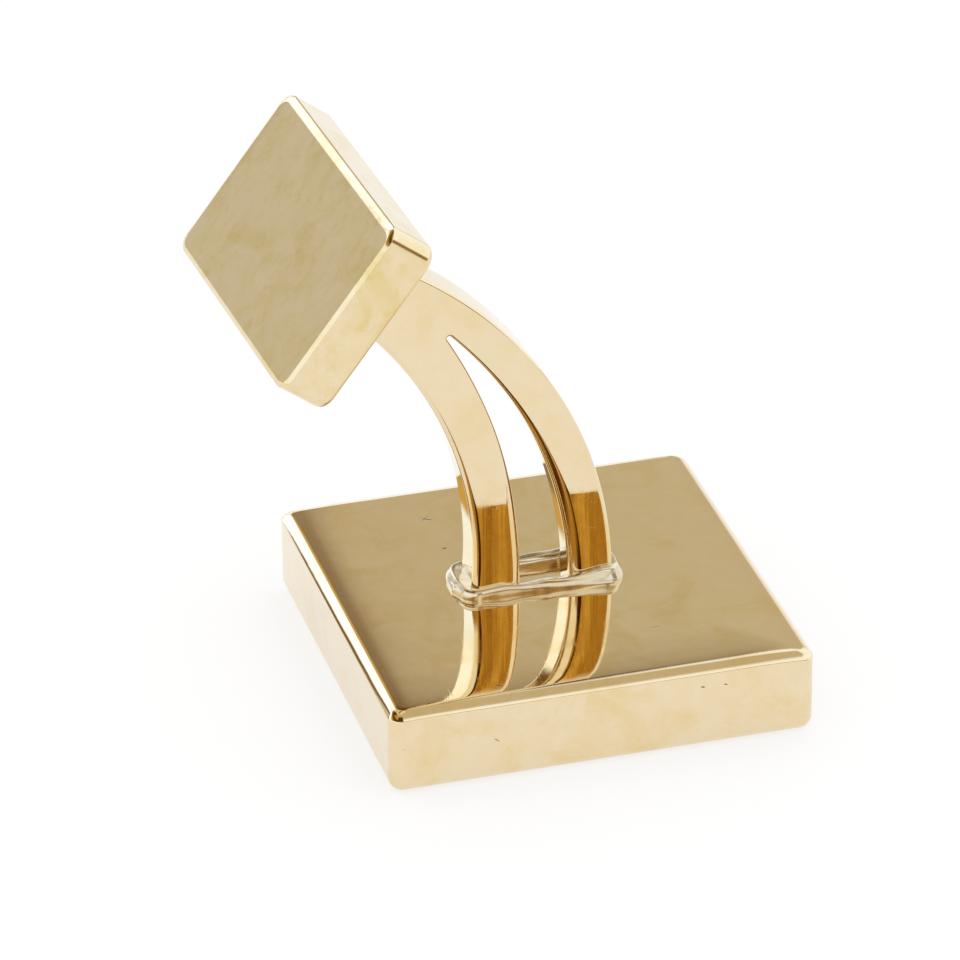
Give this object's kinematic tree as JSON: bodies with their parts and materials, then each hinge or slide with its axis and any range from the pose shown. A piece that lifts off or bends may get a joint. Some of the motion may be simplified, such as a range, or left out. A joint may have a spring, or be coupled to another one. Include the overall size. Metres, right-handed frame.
{
  "type": "cufflink",
  "caption": "Plain fixed cufflink: a square face block, a curved post split into two legs, and a small tilted oblong end piece that passes through the cuff.",
  "frame": {"origin": "middle of the square display face, which lies on the table", "axes": "+Z from the face up to the end piece, +X along one side of the face, and the post bends towards -X"},
  "size_m": [0.0187, 0.015, 0.0203],
  "materials": {
    "face_gold": "polished yellow gold, lightly smudged",
    "post_gold": "polished yellow gold, with fine lines along the post",
    "end_gold": "polished yellow gold, clouded by handling",
    "solder": "bright rippled hard solder"
  },
  "bodies": {
    "root": {"face_shell": "face_gold", "back_sheet": "face_gold", "split_post": "post_gold", "foot_solder": "solder", "end_shell": "end_gold", "end_sheet": "end_gold", "end_solder": "solder"}
  },
  "joints": []
}
